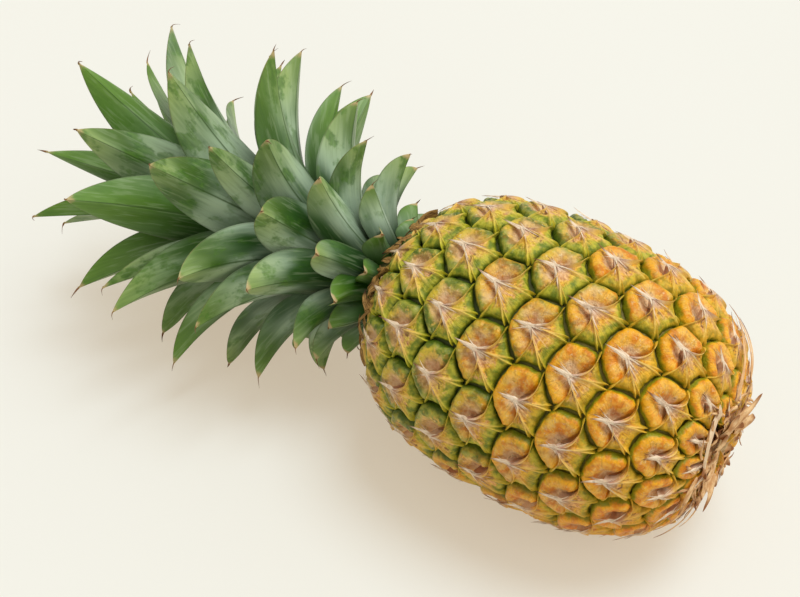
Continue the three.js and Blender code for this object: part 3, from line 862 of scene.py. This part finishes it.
def make_fruit():
    make_rind()
    pads, tips = Shape(), Shape()
    bract_zones = {f"eye_bracts_{zone}": Shape() for zone in ("crown_side", "middle", "base_side")}
    zones = list(bract_zones.values())
    for n in range(FIRST_EYE, LAST_EYE):
        eye = Eye(n)
        add_pad(pads, eye)
        zone = zones[(n - FIRST_EYE) * len(zones) // (LAST_EYE - FIRST_EYE)]
        add_tip(tips, eye, add_bract(zone, eye))
    pads.piece("eye_pads", pad_material(), "rind")
    bract_finish = bract_material()
    for name, shape in bract_zones.items():
        shape.piece(name, bract_finish, "rind", sharp=60)
    tip_finish = papery_material("bract_tip_papery", (230, 198, 160), (255, 238, 210), (140, 94, 60))
    tips.piece("bract_tips", tip_finish, "dry_bract")


# ---- Crown ----
def lean(p):
    p = np.array(p, float)
    p[..., 1] -= p[..., 0] * CROWN_LEAN["side"]
    p[..., 2] -= p[..., 0] * CROWN_LEAN["up"]
    return p


def ease_onto_ground(p):
    limit = -AXIS_HEIGHT + FLOOR_EASE
    z = p[..., 2]
    eased = limit - FLOOR_EASE * (1 - np.exp(-np.maximum(limit - z, 0) / FLOOR_EASE))
    p[..., 2] = np.where(z < limit, eased, z)
    return p


def knots(values, t):
    return float(np.interp(t, shares(len(values)), values))


def stem_radius(reach):
    left = 1 - min(max(reach / STEM_LENGTH, 0), 1)
    return STEM_TIP + (STEM_COLLAR - STEM_TIP) * left ** STEM_FLARE


def leaf_plan(place):
    t = place / (SPIRAL_LEAVES - 1)
    start = 1 + (STEM_LENGTH - 3) * t ** FEET_CROWDING
    return {
        "angle": FIRST_LEAF_ANGLE + LEAF_TURN * place, "start": start,
        "foot": 0.86 * stem_radius(start) + 0.8,
        "rise": math.radians(knots(LEAF_RISE, t)), "reach": knots(TIP_REACH, t),
        "spread": knots(TIP_SPREAD, t), "width": knots(LEAF_WIDTH, t), "t": t, "twist": 0.0,
    }


def spiral_plan(k):
    plan = leaf_plan(k)
    plan["angle"] -= STRAY["turn"] * math.sin(STRAY["step"] * k)
    plan["spread"] += STRAY["spread"] * math.cos(STRAY["step"] * k)
    plan["reach"] -= STRAY["reach"] * math.sin(STRAY["reach_step"] * k)
    plan["twist"] = TWISTED_LEAVES.get(k, 0.0)
    return plan


def crown_plans():
    plans = [spiral_plan(k) for k in range(FIRST_LEAF, SPIRAL_LEAVES)]
    for angle, place, width, twist in EXTRA_LEAVES:
        plan = leaf_plan(place)
        plan["spread"] *= EXTRA_SPREAD
        plans.append({**plan, "angle": angle, "width": width, "twist": twist})
    return plans


LEAF_ROWS, LEAF_HALF = 44, 13
LEAF_WIDEST = 0.45  # as a share of its length
LEAF_LEAST_WIDTH = 0.6
LEAF_THICKNESS = 2.0
BUD_LEAVES = 9


def blade_width(plan, t, point):
    """Broad from the foot and widest before the middle; point says how straight the edges run to the tip."""
    width = plan["width"] * (0.86 + 0.21 * smooth((plan["t"] - 0.15) / 0.25))
    foot = min(width * 0.85, 2 * math.pi * plan["foot"] / 3)
    grown = np.sin(np.pi / 2 * np.minimum(t / LEAF_WIDEST, 1))
    past = np.clip((t - LEAF_WIDEST) / (1 - LEAF_WIDEST), 0, 1)
    narrowing = width * np.maximum(1 - past ** 2, 0) ** point
    return np.maximum(np.where(t < LEAF_WIDEST, foot + (width - foot) * grown, narrowing), LEAF_LEAST_WIDTH)


def add_leaf(shape, hooks, plan, rand, point, deep):
    local = own_random(LEAF_SEED, rand)
    angle = math.radians(plan["angle"])
    a = np.array([plan["start"], plan["foot"]])
    c = np.array([plan["reach"], plan["spread"]])
    b = a + 0.5 * np.linalg.norm(c - a) * np.array([math.cos(plan["rise"]), math.sin(plan["rise"])])
    t = (1 - (1 - shares(LEAF_ROWS)) ** 1.6)[:, None]
    centre = (1 - t) ** 2 * a + 2 * t * (1 - t) * b + t ** 2 * c
    tangent = unit(2 * (1 - t) * (b - a) + 2 * t * (c - b))
    wide = blade_width(plan, t, point)
    over = np.sin(np.linspace(-0.5, 0.5, LEAF_HALF) * math.pi)
    half = np.concatenate([over, over[-2:0:-1]])
    inner = np.concatenate([np.zeros(LEAF_HALF), np.ones(LEAF_HALF - 2)])
    body = LEAF_THICKNESS * np.minimum(1, 0.3 + 0.7 * wide / plan["width"])
    cross = np.where(inner == 0, -1, 1) * np.sqrt(np.clip(1 - half ** 2, 0, 1)) * body / 2
    full, broad = min(2 * plan["t"], 1), np.minimum(wide / 12, 1)
    keel = -0.35 * np.exp(-(half / 0.09) ** 2) * (inner == 0) * broad * full
    cupped = 0.3 * max(1 - 1.7 * plan["t"], 0)
    fold = 1.9 - 0.75 * t * full
    gutter = wide * (0.17 + cupped + 0.12 * t) * np.abs(half) ** fold
    wave = 0.3 * np.sin(t * 9 + rand * 12) * half ** 3 * broad
    lift = gutter + cross + keel + wave
    sideways = half * wide / 2
    twist = (local.normal(0, 0.16) + plan["twist"]) * t
    turned = sideways * np.cos(twist) - lift * np.sin(twist)
    lift = sideways * np.sin(twist) + lift * np.cos(twist)
    radial = centre[:, 1:2] - lift * tangent[:, 0:1]
    x = -(centre[:, 0:1] + lift * tangent[:, 1:2]) - 0.3
    reach, turn = np.hypot(radial, turned), angle + np.arctan2(turned, radial)
    points = ease_onto_ground(lean(np.stack([x, reach * np.sin(turn), reach * np.cos(turn)], -1)))
    run = np.concatenate([[0], np.cumsum(np.linalg.norm(np.diff(centre, axis=0), axis=1))])
    columns = len(half)
    shape.add(
        points, tube_faces(LEAF_ROWS, columns, flip=True),
        along=np.repeat(t[:, 0], columns), run=np.repeat(run, columns), side=sideways.reshape(-1),
        across=np.tile(half, LEAF_ROWS), inner=np.tile(inner, LEAF_ROWS), rand=rand, deep=deep,
        small=max(1 - 2.2 * plan["t"], 0),
    )
    add_hook(hooks, points, local, plan)


def add_hook(hooks, points, local, plan):
    """The leaf's dry end: a short thin spine that curls away from the blade."""
    end = points[-1].mean(0)
    before = points[-6].mean(0)
    forward = (end - before) / np.linalg.norm(end - before)
    outward = np.array([0.0, end[1], end[2]])
    outward /= np.linalg.norm(outward)
    bend = outward * local.uniform(0.2, 0.9) + np.array([local.uniform(0.3, 1.1), 0, 0])
    bend = bend + local.normal(0, 0.25, 3)
    length = 2.6 + 2.6 * plan["t"]
    s = shares(11)[:, None]
    line = end - forward * 0.8 + forward * length * s * (1 - 0.45 * s) + bend * length * 0.8 * s ** 2
    line[:, 2] = np.maximum(line[:, 2], -AXIS_HEIGHT + 0.6)
    side = np.cross(np.gradient(line, axis=0), outward)
    width = 0.5 * (1 - s[:, 0] ** 1.3) + 0.08
    add_blade(hooks, line, width, side, 0.7, 0.2, rand=local.random())


def make_stem():
    rows, turns = 30, 40
    reach = np.linspace(-1, STEM_LENGTH, rows)[:, None]
    a = round_angles(turns)
    r = np.array([stem_radius(v) for v in reach[:, 0]])[:, None] * 0.84 + 0.25 * np.sin(a * 13 + reach)
    points = lean(np.stack([-reach + 0 * a, r * np.sin(a), r * np.cos(a)], -1))
    stem = Shape()
    stem.add(points, tube_faces(rows, turns, flip=True))
    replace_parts(stem.piece("stem_core", stem_material(), "stem"), "crown_stem")


def make_crown():
    leaf_finish, hook_finish = leaf_material(), hook_material()
    hooks = Shape()
    for i, plan in enumerate(crown_plans()):
        shape = Shape()
        add_leaf(shape, hooks, plan, rng.random(), 0.66 + 0.27 * plan["t"], DEEP_LEAVES.get(i + 1, 0.0))
        leaf = shape.piece(f"leaf_{i + 1:02d}", leaf_finish, "leaf")
        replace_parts(leaf, f"crown_leaf_{i + 1:02d}")
    small = Shape()
    for k in range(FIRST_LEAF):
        plan = spiral_plan(k)
        plan["width"] *= 1.05
        add_leaf(small, hooks, plan, rng.random(), 0.66, 0.8)
    small.piece("collar_scales", leaf_finish, "leaf")
    bud = Shape()
    for j in range(BUD_LEAVES):
        plan = leaf_plan(SPIRAL_LEAVES - 1)
        plan.update(
            angle=FIRST_LEAF_ANGLE + LEAF_TURN * (SPIRAL_LEAVES + j), rise=math.radians(12 - j),
            start=STEM_LENGTH - 3 + j * 0.7, foot=5.5 - j * 0.4, reach=168 - j * 7, spread=38 - j * 3.4,
            width=18 - j * 1.2,
        )
        add_leaf(bud, hooks, plan, rng.random(), 1.0, 0.8)
    bud.piece("crown_bud_leaves", leaf_finish, "leaf")
    hooks.piece("leaf_hooks", hook_finish, "leaf")
    make_stem()


def set_material(obj, material):
    for slot in obj.material_slots:
        slot.link = "OBJECT"
        slot.material = material


# ---- Dry scraps at the collar and bracts at the base ----
COLLAR_SCRAPS = 120
RIM_BRACTS, LOOSE_BRACTS, BASE_FIBRES = 16, 12, 22


def make_collar_scraps():
    collar = Shape()
    for i in range(COLLAR_SCRAPS):
        local = np.random.default_rng(COLLAR_SEED + i)
        angle = i * GOLDEN_TURN + local.normal(0, 0.1)
        s = shares(9)
        length = local.uniform(5, 12)
        heading = local.uniform(-1.2, 1.2)
        d = local.uniform(27, 42) - length * math.cos(heading) * s
        a = angle + length * math.sin(heading) * s / 28
        height = local.uniform(0.2, 2.0) + local.uniform(0.5, 4.5) * s ** 2 + 1.6 * np.sin(np.pi * s)
        line = lean(on_fruit(d, a, height))
        side = np.stack([0 * a, np.cos(a), -np.sin(a)], -1) + local.normal(0, 0.5, 3)
        width = local.uniform(0.5, 2.6) * (1 - s ** 1.5) + 0.1
        add_blade(collar, line, width, side, 0.3, local.uniform(-0.5, 0.6), rand=local.random())
    finish = papery_material("collar_scrap_dry", (118, 84, 44), (198, 154, 86), (58, 40, 22))
    collar.piece("collar_dry_scraps", finish, "dry_bract")


def add_dry_bract(shape, local, start, length, heading, angle, half, lift, curl=0.2):
    """A dry bract lying from a place near the cut stalk outwards; heading turns it from straight outwards."""
    steps = 16
    s = shares(steps)
    d = WALK_END - start - length * s * math.cos(heading)
    radius = np.interp(d, fine_walk, fine_r) + 4
    a = angle + np.cumsum(np.full(steps, length * math.sin(heading) / steps) / radius)
    height = lift[0] + (lift[1] - lift[0]) * s ** 2.5 + 0.35 * np.sin(7 * s + angle * 3)
    line = on_fruit(d, a, height)
    side = on_fruit(d + 0.5 * math.sin(heading), a + 0.5 * math.cos(heading) / radius, height) - line
    side = side + local.normal(0, 0.05, 3)
    shape_of = np.sqrt(np.clip(1 - s ** 2.4, 0, 1)) * (0.6 + 0.4 * np.sin(np.pi * np.minimum(s + 0.25, 1)))
    ragged = 1 + 0.12 * np.sin(19 * s + angle * 5)
    add_blade(shape, line, half * shape_of * ragged + 0.12, side, 0.5, curl, rand=local.random())


def add_strip(shape, start, end, half, rand):
    """A dry strip from start to end, each an (offset from the cut end, angle in degrees, height)."""
    s = shares(18)
    offset, angle, height = (start[i] + (end[i] - start[i]) * s for i in range(3))
    height = height + 0.8 * np.sin(np.pi * s)
    line = on_fruit(WALK_END - offset, np.radians(angle), height)
    over = on_fruit(WALK_END - offset, np.radians(angle), height + 1)
    side = np.cross(np.gradient(line, axis=0), over - line)
    taper = np.minimum(1, 0.5 + 3 * s) * (1 - s ** 3) * (1 + 0.2 * np.sin(9 * s + start[1]))
    add_blade(shape, line, half * taper + 0.12, side, 0.3, 0.4, rand=rand)


# Start and end as (offset from the cut end, angle in degrees, height), half the width, and how brown
BASE_STRIPS = [
    ((29, 352, 1.2), (17, 278, 1.4), 1.5, -0.6), ((26, 345, 1.2), (33, 350, 2.8), 1.5, -0.5),
    ((7, 290, 0.5), (17, 308, 3.0), 4.6, 0.3), ((7, 325, 0.5), (18, 342, 4.0), 5.0, 0.5),
    ((6, 250, 0.5), (18, 268, 3.0), 4.6, 0.2), ((8, 0, 0.5), (20, 14, 4.0), 5.0, 0.4),
    ((9, 30, 0.5), (27, 58, 7.0), 3.4, 0.5), ((10, 75, 0.5), (25, 96, 5.0), 4.4, 0.6),
    ((12, 200, 0.5), (27, 214, 6.0), 4.0, 0.7), ((12, 232, 0.5), (26, 240, 4.5), 3.6, 0.5),
    ((24, 20, 1.5), (56, 52, 3.0), 1.3, 0.1), ((30, 58, 1.2), (64, 52, 3.5), 0.9, 0.3),
    ((34, 66, 1.2), (60, 63, 4.2), 0.8, 0.6), ((22, 280, 1.4), (33, 246, 3.4), 1.7, 0.3),
    ((26, 198, 1.0), (36, 226, 5.0), 0.7, 0.2), ((25, 215, 1.0), (47, 226, 4.5), 0.7, 0.5),
    ((27, 236, 1.0), (44, 244, 3.8), 0.8, 0.1), ((20, 240, 1.0), (24, 262, 7.0), 0.5, 0.9),
]


def make_base():
    rim = Shape()
    for i in range(RIM_BRACTS):
        local = np.random.default_rng(RIM_SEED + i)
        angle = i * 2 * math.pi / RIM_BRACTS + local.normal(0, 0.1)
        length, heading = local.uniform(10, 13.5), local.normal(0, 0.25)
        add_dry_bract(rim, local, 9, length, heading, angle, 5.6, (-1.5, 1.2))
    for i in range(LOOSE_BRACTS):
        local = np.random.default_rng(LOOSE_SEED + i)
        angle = i * GOLDEN_TURN + local.normal(0, 0.1)
        length, lift = local.uniform(7, 11), (0.4, local.uniform(1.2, 4.0))
        start, heading = local.uniform(12, 15), local.normal(0, 0.45)
        half, curl = local.uniform(2.6, 4.4), local.uniform(-0.2, 0.6)
        add_dry_bract(rim, local, start, length, heading, angle, half, lift, curl)
    for i in range(BASE_FIBRES):
        local = np.random.default_rng(FIBRE_SEED + i)
        heading = local.choice([-1, 1]) * local.uniform(0.5, 1.4)
        start, length, angle = local.uniform(19, 25), local.uniform(9, 18), local.uniform(0, 2 * math.pi)
        half, lift = local.uniform(0.5, 1.0), (1.2, local.uniform(2.0, 5.0))
        add_dry_bract(rim, local, start, length, heading, angle, half, lift, 0.5)
    for start, end, half, brown in BASE_STRIPS:
        add_strip(rim, start, end, half, brown)
    finish = papery_material("basal_bract_dry", (206, 150, 94), (246, 208, 154), (150, 96, 54), 1.8)
    piece = rim.piece("basal_bracts_dry", finish, "dry_bract")
    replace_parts(piece, "basal_bract_1", "basal_bract_2", "basal_bract_3")
    set_material(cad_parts["cut_stalk"], stalk_material())


def make_floor():
    mesh = bpy.data.meshes.new("studio_floor")
    corners = [(x * FLOOR_HALF, y * FLOOR_HALF, 0) for x, y in ((-1, -1), (1, -1), (1, 1), (-1, 1))]
    mesh.from_pydata(corners, [], [(0, 1, 2, 3)])
    mesh.materials.append(floor_material())
    floor = new_object("studio_floor", mesh)


def make_world():
    world = bpy.data.worlds.new("studio")
    world.use_nodes = True
    background = world.node_tree.nodes["Background"]
    background.inputs["Color"].default_value = (1.0, 0.967, 0.91, 1)
    background.inputs["Strength"].default_value = 0.49
    bpy.context.scene.world = world


make_fruit()
make_crown()
make_collar_scraps()
make_base()
make_floor()
make_world()
bpy.context.scene.view_settings.view_transform = "Standard"
